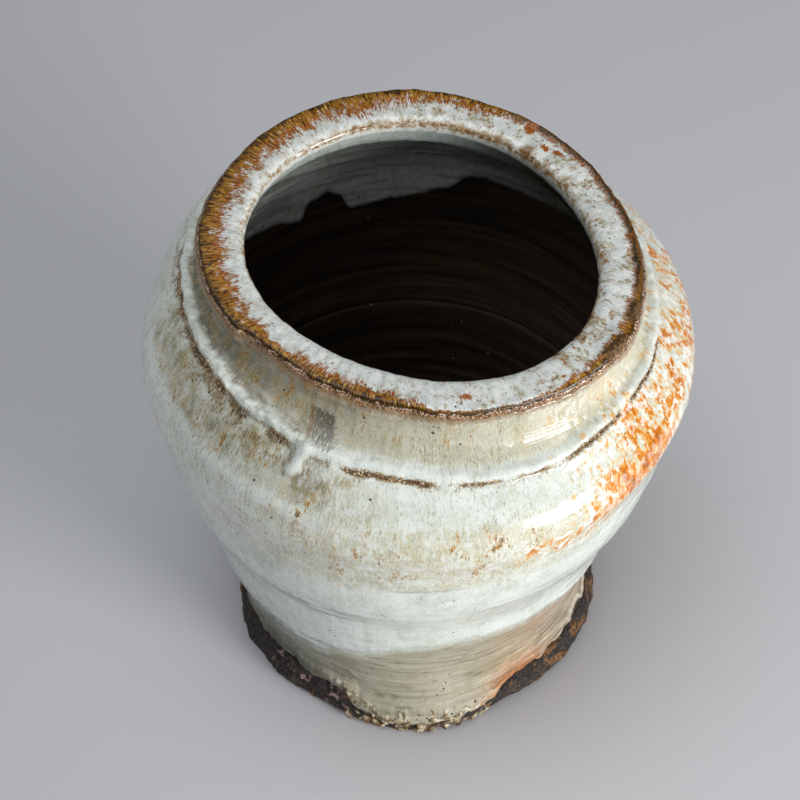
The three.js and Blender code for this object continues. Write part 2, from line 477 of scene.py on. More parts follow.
class Outside(Places):
    """Places on the skin, with their height and how they lie to the ledge and to the thick glaze's end."""

    def __init__(self, deg, along):
        super().__init__(deg, along)
        self.height = SKIN.height(self.along)
        self.rise = self.along - LEDGE - ledge_shift(self)
        self.over_step = self.height - step_height(self)
        self.thin = 1 - smooth(self.over_step, -9.0, 3.0)


def ledge_shift(at):
    """How far the collar's ledge wanders up the outline."""
    return round_the_jar(at.deg, LEDGE_RISE) + 0.8 * at.ring(24, 31) + 0.4 * at.ring(6, 34)


def foot_line_shift(at):
    """How far the glaze's lower edge lies from its usual height."""
    bare = 1.5 * at.span(-165, -112, 8) + 1.5 * at.span(-60, -36, 6) + 2.0 * at.span(-36, 8, 8)
    return bare - 5.0 * at.span(-104, -64, 6) + 1.6 * at.ring(9, 71) + 0.9 * at.ring(3, 72)


def lip_line_shift(at):
    """How far the glaze's upper edge lies from its usual height."""
    return 0.5 * at.ring(7, 73) + 0.35 * at.ring(2, 74)


def lip_outline_shift(at):
    """Chips and wear that move the lip's outer edge."""
    notch = -1.7 * at.span(-147, -124, 1.5) * (1 - 0.6 * smooth(turn(at.deg, -136), 0, 14))
    worn = 1.4 * at.span(78, 132, 22) - 1.2 * at.span(-74, -38, 8)
    return notch + worn + 0.5 * at.ring(16, 91) + 0.3 * at.ring(5, 92)


def step_height(at):
    """Height where the thick glaze ends on the lower wall."""
    return round_the_jar(at.deg, STEP_EDGE) + 2.6 * at.ring(15, 42) + 1.2 * at.ring(5, 43)


def trim_height(at):
    """Height of the fine line turned round the belly."""
    left = 1 - smooth(np.abs(turn(at.deg, -175)), 40, 80)
    return TRIM_Z - 13 * left + 4.5 * at.span(-50, 30, 9) + 0.5 * at.ring(30, 41)


def bareness(at):
    """How much of the ledge's foot is bare of glaze."""
    strength = sum(share * at.span(start, end, 2.2) for start, end, share in BARE_STRETCHES)
    gaps = smooth(at.ring(8, 37), -0.1, 0.25) * at.span(150, -116, 8)
    broken = 0.3 * at.ring(5, 32) + 0.25 * at.ring(1.7, 35)
    return np.clip(strength * (1 - 0.65 * gaps) * (1 + broken) + 0.3 * broken, 0, 1)


def ledge_relief(at):
    """The lap of the collar, with a groove and crumbs where its foot is bare."""
    bare = bareness(at)
    height = LAP * (0.85 + 0.35 * at.ring(17, 33)) * (1 - 0.35 * at.span(-52, 40, 10))
    step = band(at.rise, -0.3 - 2.2 * (1 - bare), 0.7 + 0.7 * (1 - bare), 1.6, 5.6)
    groove = 0.5 * bare * bump(at.rise + 0.6, 0.8)
    left = at.span(150, -122, 8)
    grains = smooth(at.noise(1.5 + left, 1.0 + left, 36), 0, 0.6)
    crumbs = (0.55 + 0.5 * left) * bare * bump(at.rise + 0.3 + 0.6 * left, 1.2) * grains
    return height * step - groove + crumbs


def drip_margin(at):
    """Distance from the edge of the tongue of glaze that ran over the ledge at the front left."""
    across = np.radians(turn(at.deg, DRIP_ANGLE)) * DRIP_RADIUS - DRIP_LEAN * at.rise
    bulb = 0.9 * bump(at.rise + 5.8, 2.0) + 0.8 * bump(at.rise - 1.0, 2.0)
    return np.hypot(across, at.rise - np.clip(at.rise, DRIP_END, DRIP_TOP)) - bulb - DRIP_HALF_WIDTH


def drip_relief(at):
    return 1 - smooth(drip_margin(at), -1.8, 0.5)


def chatter(at):
    """Short level scars of the trimming tool on the lower wall."""
    scars = at.noise(17, 1.4, 51) + 0.6 * at.noise(6, 0.9, 52)
    return smooth(scars, 0.3, 0.85) * band(at.height, 2, 8, 54, 62)


def crumb_relief(at):
    """Lumps of grit stuck to the glaze's lower edge at the front, from 0 to 1."""
    rise = at.along - FOOT_LINE - foot_line_shift(at)
    zone = at.span(-112, -64, 6) * (1 - smooth(rise, 3.0, 7.5))
    lumps = at.noise(4.2, 2.6, 141, 2) + 0.5 * (1 - smooth(rise, 0.5, 5.0))
    return zone * smooth(lumps, 0.0, 0.6)


def clay_relief(at):
    """How far the clay stands off the true outline."""
    swell = 0.6 * at.noise(42, 36, 21) + 0.22 * at.noise(13, 11, 22)
    turns = np.sin(2 * np.pi * (at.height + 7 * at.deg / 360) / 6.5 + 3 * at.noise(50, 16, 23))
    uneven = 0.5 + 0.5 * at.noise(60, 9, 26)
    throwing = 0.13 * turns * uneven * band(at.height, 14, 30, 112, 124)
    ridge = 0.9 * bump(at.height - RIDGE_Z, 2.2) - 0.6 * bump(at.height - RIDGE_HOLLOW_Z, 3.0)
    trim = 0.3 * bump(at.height - trim_height(at), 0.6) * (0.5 + 0.5 * at.span(-112, -58, 6))
    trunk = (swell + throwing) * (1 - smooth(at.height, 162, 169))
    return trunk + ridge * at.span(*RIDGE_SPAN) - trim + ledge_relief(at)


def glaze_depth(at):
    """How thick the glaze lies: its runs, the bead over the ledge, the drip and the grit at its foot."""
    left = at.span(150, -112, 10)
    roll = 0.3 * bump(at.over_step - 2.0, 2.4) * at.span(-110, 20, 20)
    runs = 0.12 * at.noise(2.4, 26, 61) * (1 - at.thin)
    lumps = (0.4 + 0.4 * left) * at.noise(4.5, 3.5, 63, 3) * bump(at.rise - 1.5, 5.0)
    full = (0.6 + 0.7 * at.ring(7, 62)) * (1 - 0.6 * at.span(-112, 40, 10) - 0.35 * left)
    bead = 0.75 * full * bump(at.rise - 2.0, 1.5)
    depth = THIN_GLAZE + (GLAZE - THIN_GLAZE) * (1 - at.thin) - 0.25 * chatter(at) * at.thin
    depth = depth + roll + runs + lumps + bead + drip_relief(at) + 0.8 * crumb_relief(at)
    return np.maximum(depth, LEAST_GLAZE)


# The outside's colours and marks


def trunk_tints(at, cloud):
    """The trunk: bluish belly, straw band at the front, olive and pale patches on the left, and painted shade
    low on the left.
    """
    belly = smooth(trim_height(at) - at.height, -1, 3)
    straw = band(at.height, 104, 110, 134, 146) * at.span(-125, -50, 18)
    left = smooth(at.height, 140, 144) * (1 - smooth(at.rise, -4, 1)) * at.span(-172, -100, 10)
    mottle = at.noise(10, 9, 79, 2)
    pale = band(at.height, 112, 124, 139, 143) * at.span(160, -112, 18)
    return [
        ((234, 243, 236), belly * (0.6 + 0.4 * cloud)),
        # Painted shade on the lower left of the belly.
        ((188, 195, 191), 0.6 * (1 - smooth(at.height, 80, 124)) * at.span(160, -122, 24)),
        ((216, 210, 180), straw * (0.4 + 0.5 * cloud)),
        ((200, 192, 160), left * (0.4 + 0.6 * cloud)),
        ((246, 248, 240), 0.75 * left * smooth(mottle, 0.05, 0.5)),
        ((142, 132, 96), 0.6 * left * smooth(-mottle, 0.05, 0.5)),
        ((248, 251, 246), 0.8 * pale * cloud),
    ]


def neck_tints(at, cloud):
    """The neck, the white pool over the ledge with its ragged upper edge, painted shade on the neck's left
    and under the lip, a painted highlight on the ridge and painted shadow round the drip.
    """
    edge = at.rise + 0.8 * at.noise(5, 3, 88)
    soft = at.span(150, -46, 10) * (1 - 0.75 * at.span(150, -114, 6))
    neck = smooth(edge, 3.4 - 0.8 * soft, 4.4 + 3.4 * soft)
    patchy = smooth(at.noise(6, 4, 90, 2), -0.5, 0.3)
    patchy = 0.55 + 0.5 * patchy - 0.3 * at.span(150, -150, 10) * (1 - patchy)
    pool = patchy * band(edge, 0.2, 1.2, 2.8 - soft, 4.4 + 2.4 * soft)
    pool = pool * (1 - 0.6 * at.span(-52, 40, 10) - 0.5 * at.span(150, -114, 8))
    pool = pool + 0.6 * bump(at.rise + 4.5, 3.2) * at.span(-106, -60, 6)
    # Painted highlight on the upper side of the shoulder's ridge on the left.
    ridge = bump(at.height - RIDGE_Z - 0.4, 2.4) * at.span(*RIDGE_SPAN)
    rim = 0.7 * bump(edge - 4.4, 0.8) * smooth(at.noise(3, 2.4, 89, 2), 0.1, 0.5)
    return [
        ((200, 196, 174), neck * (0.75 + 0.25 * cloud)),
        # Painted shade on the neck's left, deepest towards the far left.
        ((160, 154, 132), 0.8 * neck * at.span(160, -108, 16)),
        ((106, 101, 83), 0.8 * neck * at.span(160, -138, 20)),
        ((222, 217, 195), neck * at.span(-66, 8, 16) * (0.6 + 0.4 * cloud)),
        # Painted shade, warm brown, under the lip on the left and front.
        ((168, 140, 112), 0.5 * smooth(at.along, LIP_LINE - 6, LIP_LINE) * at.span(170, -88, 14)),
        # White pooled glaze, the painted highlight on the ridge, and the drip.
        ((240, 244, 238), pool + ridge + drip_relief(at)),
        ((146, 116, 74), rim * at.span(150, -100, 10)),
        # Painted shadow round the drip.
        ((136, 122, 84), 0.85 * bump(drip_margin(at) - 0.5, 0.6) * smooth(-at.rise, 0, 2)),
    ]


def lower_tints(at):
    """The thin glaze of the lower wall: grey painted shade on the left, darkest towards the foot, pink and
    peach on the right.
    """
    low = at.height - SKIN.height(FOOT_LINE + foot_line_shift(at))
    left = at.thin * at.span(150, -116, 14)
    right = at.thin * at.span(-58, 30, 14)
    peach = at.thin * at.span(-66, -44, 9)
    return [
        ((183, 178, 157), at.thin),
        # Grey painted shade on the left of the lower wall, darkest near the foot.
        ((160, 160, 150), 0.7 * left),
        ((92, 90, 86), 0.85 * left * (1 - smooth(low, 1, 14))),
        ((184, 156, 136), right * (0.4 + 0.4 * smooth(at.height, 25, 45))),
        ((204, 158, 108), peach * (0.25 + 0.4 * (1 - smooth(low, 2, 14)))),
        ((214, 130, 62), 0.75 * peach * (1 - smooth(low, 1.0, 3.4))),
        ((228, 220, 206), 0.85 * at.thin * bump(low - 2.8, 1.6) * at.span(-46, 10, 8)),
    ]


def body_tint(at):
    """The outside glaze's colour before its streaks and flecks."""
    cloud = 0.5 + 0.5 * at.noise(16, 22, 81)
    return layered((230, 235, 225), [*trunk_tints(at, cloud), *neck_tints(at, cloud), *lower_tints(at)])


def soot_place(at):
    """Degrees right of the middle of the dark smear, which leans across the neck."""
    return turn(at.deg, SOOT_ANGLE) - SOOT_LEAN * (SOOT_Z - at.height)


def soot(at):
    """The dark smear on the neck's front left, thin towards its foot."""
    sides = 1 - smooth(np.abs(soot_place(at)), 2.2, 4.2)
    dense = 0.45 + 0.55 * smooth(at.height, 155.5, 160.0)
    return sides * dense * band(at.height, 153.8, 155.4, 162.2, 164.2)


def soot_edge(at):
    """The brown line down the smear's left side."""
    return bump(soot_place(at) + 3.6, 0.9) * band(at.height, 154.5, 157.0, 162.4, 164.6)


def stain(at):
    """Brown that bleeds from the bare line into the glaze round it."""
    blots = smooth(at.noise(6, 4, 87), -0.5, 0.3)
    near = band(at.rise, -4.5 - 1.5 * at.span(150, -124, 8), -1.4, 0.2, 1.4)
    far = 0.65 * band(at.rise, -12, -4, -3, -1) * at.span(160, -112, 8)
    clear = 1 - smooth(-drip_margin(at), -0.5, 0.3)
    return clear * blots * np.maximum(near * (0.45 + 0.55 * at.span(170, -118, 6)), far)


def fur(at):
    """Where the glaze breaks into fine ochre streaks."""
    cloud = 0.5 + 0.6 * at.noise(8, 11, 82)
    front = band(at.height, 108, 118, 137, 147) * at.span(-128, -46, 14)
    left = smooth(at.height, 138, 143) * (1 - smooth(at.rise, -3, 1)) * at.span(-176, -98, 10)
    neck = (0.5 + 0.25 * at.span(170, -112, 12)) * smooth(at.rise, 4, 8) * (1 - 0.3 * at.span(-64, 10, 14))
    rest = (0.35 - 0.25 * at.span(-104, -50, 8)) * smooth(at.height, 100, 125) * (1 - smooth(at.rise, -3, 0))
    clear = (1 - 0.8 * bump(at.rise - 2.4, 2.8)) * smooth(drip_margin(at), -0.4, 0.6)
    return clear * np.maximum.reduce([front * (0.2 + 0.9 * cloud), left * (0.35 + 0.6 * cloud), neck, rest])


def rust(at):
    """Where the glaze burnt to rust on the right of the shoulder."""
    cloud = 0.5 + 0.5 * at.noise(20, 17, 83, 2)
    spread = at.span(-58, 34, 12) * smooth(at.height, 114, 130) * (1 - 0.45 * smooth(at.rise, -4, 1))
    tail = 0.85 * at.span(-72, -46, 8) * band(at.height, 106, 122, 125, 134)
    heart = 0.35 * bump(turn(at.deg, HEART_ANGLE), 14) * bump(at.height - HEART_Z, 12)
    return np.clip(np.maximum(spread, tail) * (0.45 + 0.75 * cloud) + heart, 0, 1.3)


def grainy(at):
    """How strongly the glaze's fine grain shows."""
    neck = 0.95 * smooth(at.rise, 3, 5) * (1 - 0.4 * at.span(-70, 10, 14))
    bead = 0.5 * smooth(at.rise, 0.5, 2) * at.span(150, -100, 10)
    shoulder = (0.5 + 0.4 * at.span(170, -106, 14)) * smooth(at.height, 100, 112)
    shoulder = shoulder * (1 - smooth(at.rise, -3, 0))
    cloud = np.clip(0.75 + 0.9 * at.noise(9, 12, 78, 2), 0.15, 1.4)
    return cloud * np.maximum.reduce([neck, bead, shoulder, 0.15 + 0 * neck]) * (1 - 0.7 * at.thin)


def bare_line(at):
    """The line of clay without glaze under the ledge."""
    wide = 0.2 * at.span(-108, -86, 4) + 0.5 * at.span(-58, -10, 5) + 1.0 * at.span(170, -140, 6)
    return bareness(at) * bump(at.rise + 0.35 + 0.5 * wide, 0.8 + wide + 0.3 * at.ring(7, 84))


def scars(at):
    """The line turned round the belly, the trimming scars and the dashes at the thick glaze's end."""
    broken = np.clip(0.7 + 0.9 * at.ring(12, 85), 0, 1)
    line = bump(at.height - trim_height(at), 0.45) * (0.3 + 0.7 * at.span(-112, -58, 6)) * broken
    dashes = smooth(at.noise(5, 1.2, 86), 0.35, 0.7)
    edge = 0.8 * dashes * bump(at.over_step + 1.0, 2.2) * at.span(-125, -15, 12)
    return np.clip(line + chatter(at) * at.thin + edge, 0, 1)


def outside_attributes(at):
    return {
        "flow": at.flow(),
        "tint": body_tint(at),
        "fur": fur(at),
        "rust": rust(at),
        "bare": bare_line(at),
        "stain": stain(at),
        "scar": scars(at),
        "soot": soot(at),
        "soot_edge": soot_edge(at),
        "thin": at.thin,
        "striped": at.span(-56, 30, 14),
        "milky": (1 - at.thin) * (1 - 0.8 * smooth(at.rise, 3, 6)),
        "grainy": grainy(at),
        "comb": at.span(-64, -49, 3) * band(at.height, 158.6, 160, 165, 167),
        "pitted": at.span(-112, -62, 8) * smooth(at.height, 163.0, 166.0),
        # Painted shade with singed brown just below the lip.
        "lip_shade_and_singe": smooth(at.along - LIP_LINE - lip_line_shift(at), -3.6, -0.2),
        "crumbs": crumb_relief(at),
    }


def outside_grid(places):
    """Places on the skin, with rows that follow the glaze's edges and the ledge."""
    at = grid(places, BODY_GLAZE_SIDES)
    shift = foot_line_shift(at) * bump(at.along - FOOT_LINE, 10)
    shift = shift + ledge_shift(at) * bump(at.along - LEDGE, 18)
    return Outside(at.deg, at.along + shift + lip_line_shift(at) * bump(at.along - LIP_LINE, 4))


def on_skin(at, depth):
    radius, height = SKIN.offset(at.along, depth)
    return settled(at.deg, radius + lip_outline_shift(at) * smooth(height, 164, 170), height)


def body_glaze_piece(material):
    at = outside_grid(rows(
        FOOT_LINE, (SKIN.at_height(60), 1.25), (SKIN.at_height(134), 1.9), (LEDGE - 6, 1.2), (LEDGE + 9, 0.5),
        (LIP_LINE, 0.85),
    ))
    clay = clay_relief(at)
    ends = smooth(at.along - at.along[:1], 0, 2.2) * smooth(at.along[-1:] - at.along, 0, 1.6)
    front = on_skin(at, clay + GLAZE_EDGE + (glaze_depth(at) - GLAZE_EDGE) * ends)
    back = on_skin(at, under(clay, BODY_GLAZE_BACK))
    piece = coat("jar_body_glaze", front, back, BODY_GLAZE_BACK, outside_attributes(at))
    dress(piece, "body_glaze", material)


# The mouth


def inside_place(height):
    """Length along the mouth's outline to that height on the inside."""
    below = MOUTH.along > LIP_END + 3
    return np.interp(-height, -MOUTH.line[below, 1], MOUTH.along[below])


def crusted(at):
    """Where the lip's edge is chipped and crusted at the right."""
    return at.span(-39, -30, 2.2) + at.span(-25.5, -18.5, 1.8)


def lip_relief(at):
    """Hollows, lumps and the rolled edge of the lip."""
    inward = at.along - RIM_CORNER
    on_top = smooth(inward, -2, 1) * (1 - smooth(at.along, LIP_END, LIP_END + 6))
    swell = 0.45 * at.noise(26, 14, 93) + 0.14 * at.noise(6, 5, 94)
    roll = at.span(-14, 62, 6) * (0.55 * bump(inward - 1.2, 1.2) - 0.45 * bump(inward - 3.0, 0.7))
    lumps = crusted(at) * bump(inward - 0.8, 2.0) * (0.3 + 1.1 * at.noise(1.9, 1.6, 95))
    return on_top * (swell + roll + lumps)


def mouth_points(at, depth):
    radius, height = MOUTH.offset(at.along, depth)
    edge_foot = RIM_Z - LIP_EDGE
    edge = smooth(radius, LIP_RADIUS - LIP_WIDTH, LIP_RADIUS) * smooth(height, edge_foot - 2, edge_foot)
    return settled(at.deg, radius + lip_outline_shift(at) * edge, height)


def throwing_marks(deg, height):
    """Rings that the potter's fingers left inside, as they stand off the wall."""
    at = Places(deg, height)
    turns = np.sin(2 * np.pi * (height + 8 * deg / 360) / 7.2 + 2.5 * at.noise(40, 14, 24))
    return (0.22 * turns + 0.4 * at.noise(14, 5, 25)) * (1 - smooth(height, 146, 156))


def mouth_attributes(at):
    inward = at.along - RIM_CORNER
    past_lip = at.along - LIP_END
    wander = (0.3 * at.ring(9, 111) + 0.2 * at.ring(3.5, 112)) * (1 + 0.8 * at.span(-140, -60, 10))
    streak = at.span(53.6, 57.4, 1.2) * band(inward, 0, 2, 5.0, 8.0)
    spots = sum(
        1.2 * bump(turn(at.deg, angle), 2.0) * bump(inward - place, 1.3) for angle, place in LIP_SPOTS
    )
    clumps = at.span(-60, 60, 16) * np.clip(0.2 + 1.5 * at.ring(9, 113), 0, 1)
    back = at.span(40, 130, 14)
    brim = (0.75 + 0.2 * back) * bump(past_lip - 3.2, 1.4 + 0.5 * back)
    brim = brim + 0.9 * clumps * bump(past_lip - 0.4, 2.6)
    front = 0.6 * at.span(-104, -48, 10) * (1 - smooth(inward, 3, 10))
    return {
        "flow": at.flow(),
        "burn": inward / (round_the_jar(at.deg, LIP_BURN) * (1 + wander)),
        "inward": inward,
        "drip": streak + spots,
        "rolled": at.span(-16, 62, 8),
        "brim": brim,
        "crust": crusted(at) * (1 - smooth(inward, 2.2, 4.2)),
        "speck": (0.45 + front + 0.6 * at.span(-50, 95, 14)) * (1 - smooth(past_lip, 3, 7)),
        # Painted shade inside the mouth, strongest just below its inner edge.
        "inside": smooth(past_lip, 4, 12) * (1 - 0.7 * smooth(past_lip, 28, 46)),
        "wall": smooth(past_lip, 14, 26),
        # Painted shade over the right of the inside.
        "painted_inside_shade": at.span(-70, 66, 22) * smooth(past_lip, 6, 18),
    }


def mouth_grid():
    """Places over the lip and down the inside, with rows that end on the glaze's ragged edge."""
    usual_end = inside_place(INSIDE_EDGE_USUAL)
    at = grid(
        rows(RIM_CORNER - 0.6, (RIM_CORNER + 5, 0.45), (LIP_END, 0.7), (LIP_END + 6, 0.55), (usual_end, 1.3)),
        MOUTH_GLAZE_SIDES,
    )
    ragged = round_the_jar(at.deg, INSIDE_EDGE) + 0.8 * at.ring(5, 101) + 0.4 * at.ring(2, 102)
    share = smooth(at.along, LIP_END + 12, usual_end)
    return Places(at.deg, at.along + share * (inside_place(ragged) - usual_end))


def mouth_glaze_piece(material):
    at = mouth_grid()
    from_end = at.along[-1:] - at.along
    ends = smooth(at.along - at.along[:1], -0.3, 1.5) * smooth(from_end, 0, 2.4)
    depth = GLAZE * (0.9 + 0.25 * at.noise(5, 12, 96)) + 0.35 * bump(from_end - 2.2, 1.6)
    inside = smooth(at.along, LIP_END + 8, LIP_END + 16)
    relief = lip_relief(at) + inside * throwing_marks(at.deg, MOUTH.height(at.along))
    front = mouth_points(at, relief + GLAZE_EDGE + (depth - GLAZE_EDGE) * ends)
    back = mouth_points(at, under(relief, MOUTH_GLAZE_BACK))
    piece = coat("jar_mouth_glaze", front, back, MOUTH_GLAZE_BACK, mouth_attributes(at))
    dress(piece, "mouth_glaze", material)


def mouth_ring_piece(material):
    """The lip's clay, gritty along its outer edge."""
    places = rows(0, (RIM_CORNER + 1, 0.35), (LIP_END, 2.2), (LIP_END + 5, 0.8))
    at = grid(places, MOUTH_RING_SIDES)
    grit = at.noise(1.2, 1.3, 121, 3) * (0.25 + 0.9 * smooth(at.ring(5, 123), -0.4, 0.5))
    edge = band(at.along, 0.9, 2.2, RIM_CORNER, RIM_CORNER + 1.0)
    relief = lip_relief(at) + edge * (0.4 * grit + 0.35 * at.noise(4, 3, 122) + 0.35) - 0.12 * (1 - edge)
    seat = [*RABBET[::-1], (NECK_RADIUS, NECK_Z)]
    rings = np.concatenate([mouth_points(at, relief), corner_rings(seat, MOUTH_RING_SIDES)])
    whole = grid([*places, *(places[-1] + np.arange(1, len(seat) + 1))], MOUTH_RING_SIDES)
    # Where painted glints go: the crest of the lip's edge.
    glint_crest = bump(whole.along - RIM_CORNER + 0.2, 0.8)
    piece = shell("jar_mouth_ring", rings, {"flow": whole.flow(), "glint_crest": glint_crest})
    dress(piece, "mouth_ring", material)


# The clay walls


def clay_piece(name, node, material, outside, inside=(), corners=(), stride=0.0):
    """A ring of the wall: rows outside, rows inside, and plain corners a stride apart in the textures."""
    outer = grid(outside, CLAY_SIDES)
    relief = clay_relief(Outside(outer.deg, outer.along))
    rings = [settled(outer.deg, *SKIN.offset(outer.along, relief))]
    if len(inside):
        inner = grid(inside, CLAY_SIDES)
        marks = throwing_marks(inner.deg, INNER.height(inner.along))
        rings.append(settled(inner.deg, *INNER.offset(inner.along, -marks)))
    if corners:
        rings.append(corner_rings(corners, CLAY_SIDES))
    along = np.concatenate([outside, inside])
    along = np.concatenate([along, along[-1] + stride * np.arange(1, len(corners) + 1)])
    piece = shell(name, np.concatenate(rings), {"flow": grid(along, CLAY_SIDES).flow()})
    dress(piece, node, material)


def clay_walls(material):
    seam = SKIN.at_height(TRUNK_SEAM_Z)
    inner_seam = INNER.at_height(TRUNK_SEAM_Z + 7)
    lower = rows(SKIN.at_height(FOOT_TOP), (SKIN.at_height(30), 1.0), (seam, 2.0))
    clay_piece("jar_lower_wall", "lower_wall", material, lower, rows(inner_seam, (0, 1.6)), WALL_FOOT, -5.0)
    upper = rows(seam, (LEDGE, 2.0))
    clay_piece("jar_shoulder_wall", "shoulder_wall", material, upper, rows(INNER.end, (inner_seam, 1.6)))
    collar = rows(LEDGE, (LEDGE + 9, 0.9), (SKIN.at_height(NECK_Z), 1.2))
    throat = [*RABBET, THROAT_FOOT, tuple(INNER.line[-1])]
    clay_piece("jar_neck_collar", "neck_collar", material, collar, corners=throat, stride=4.0)


# The foot


def foot_outline():
    """The slab's profile, and where along it the rough side starts and ends."""
    rim = FOOT_RADIUS
    outline = Outline(np.array([
        (8, 0.6), (40, 0.5), (rim - 4, 0), (rim - 0.6, 1.2), (rim, 3), (rim, 8.2), (rim - 1, 10.2),
        (rim - 3, 11), (WALL_SEAT, FOOT_TOP), (WALL_SEAT, FLOOR_TOP), (8, FLOOR_TOP),
    ]), ease=3)
    radius = outline.line[:, 0]
    return outline, outline.along[radius > rim - 5][0], outline.along[radius > WALL_SEAT + 0.3][-1]


def foot_slab_piece(material):
    """The rough slab: a broken flange of scorched clay with kiln grit fused to it."""
    outline, start, end = foot_outline()
    at = grid(rows(0, (start, 4.0), (end, 0.45), (outline.end, 1.6)), FOOT_SIDES)
    radius, height = outline.offset(at.along, 0)
    rough = band(at.along, start, start + 3, end - 3, end)
    crag = at.noise(7, 5, 131, 4)
    flakes = np.abs(at.noise(14, 3.2, 135))
    grains = rough * smooth(at.noise(2.8, 2.0, 137, 2), -0.1, 0.6)
    front = rough * at.span(-108, -66, 7) * smooth(at.noise(7, 4, 139), -0.6, 0.2)
    left = rough * at.span(-136, -104, 7) * smooth(at.noise(9, 5, 138), -0.2, 0.4)
    covered = smooth(height - SKIN.height(FOOT_LINE + foot_line_shift(at)), 0, 2)
    broken = (0.75 * crag + 0.9 * flakes - 0.5 + 0.8 * at.noise(20, 40, 136)) * (1 - 0.8 * covered)
    spread = (2.6 * at.span(-160, -124, 12) + 1.4 * at.span(-44, 0, 10)) * (1 - smooth(height, 3, 9))
    grit = grains * (1.3 * front + 0.7 * left * (1 - covered))
    spiral = np.sin(2 * np.pi * (radius / 7.5 + at.deg / 360) + 2 * at.noise(30, 9, 134))
    floor_marks = 0.3 * smooth(at.along, end + 4, end + 10) * spiral * smooth(radius, 8, 16)
    relief = rough * (broken - 0.3 * covered + spread) + grit + floor_marks
    points = settled(at.deg, *outline.offset(at.along, relief))
    points[..., 2] = np.maximum(points[..., 2], 0)
    warm = (at.span(-50, 24, 9) + at.span(150, -166, 10)) * smooth(crag + flakes, 0.0, 0.7)
    attributes = {
        "flow": at.flow(radius),
        "crag": rough * (crag + flakes),
        "grit": front * (0.3 + 0.7 * grains),
        "pink": left * grains,
        "warm": rough * warm,
    }
    piece = shell("jar_foot_slab", points, attributes, closed=False)
    dress(piece, "foot_slab", material)


# Materials


class Value:
    """A value in a node tree, to reckon with: its sums, products and steps are new nodes."""

    def __init__(self, nodes, socket):
        self.nodes = nodes
        self.socket = socket

    def __add__(self, other):
        return self.nodes.math("ADD", self, other)

    def __radd__(self, other):
        return self.nodes.math("ADD", other, self)

    def __sub__(self, other):
        return self.nodes.math("SUBTRACT", self, other)

    def __rsub__(self, other):
        return self.nodes.math("SUBTRACT", other, self)

    def __mul__(self, other):
        return self.nodes.math("MULTIPLY", self, other)

    def step(self, low, high):
        """Smooth step from low to high, as 0 to 1."""
        inputs = {"Value": self, "From Min": low, "From Max": high}
        return self.nodes.node("MapRange", "Result", inputs, interpolation_type="SMOOTHSTEP")

    def until(self, low, high):
        return 1.0 - self.step(low, high)

    def swing(self, reach):
        """A noise as a swing about 0."""
        return (self - 0.5) * reach

    def past(self, limit, zone, ease):
        """How far the value is past its limit, which the zone lowers by ease."""
        return self - (limit - zone * ease)

    def ramp(self, *stops):
        """Colours along the value: (place, screen colour) stops."""
        shades = self.nodes.node("ValToRGB", "Color", {"Fac": self})
        elements = shades.socket.node.color_ramp.elements
        while len(elements) < len(stops):
            elements.new(0.5)
        for element, (place, shade) in zip(elements, stops):
            element.position = place
            element.color = (*linear(*shade), 1.0)
        return shades

    def tones(self, dark, middle, light, spread=0.14):
        """Three shades of a noise, the outer ones spread about its middle."""
        return self.ramp((0.5 - spread, dark), (0.5, middle), (0.5 + spread, light))


class Nodes:
    """Builds a tree of shader nodes."""

    def __init__(self, tree):
        self.tree = tree

    def put(self, socket, value):
        """Links a socket, or sets it: a tuple is a screen colour."""
        if isinstance(value, Value):
            self.tree.links.new(value.socket, socket)
        elif isinstance(value, tuple):
            socket.default_value = (*linear(*value), 1.0)
        else:
            socket.default_value = value

    def node(self, kind, output, inputs, **settings):
        """One output of a new node with these settings and inputs."""
        made = self.tree.nodes.new("ShaderNode" + kind)
        for name, setting in settings.items():
            setattr(made, name, setting)
        for name, value in inputs.items():
            self.put(made.inputs[name], value)
        return Value(self, made.outputs[output])

    def math(self, operation, first, second=0.0):
        return self.node("Math", 0, {0: first, 1: second}, operation=operation)


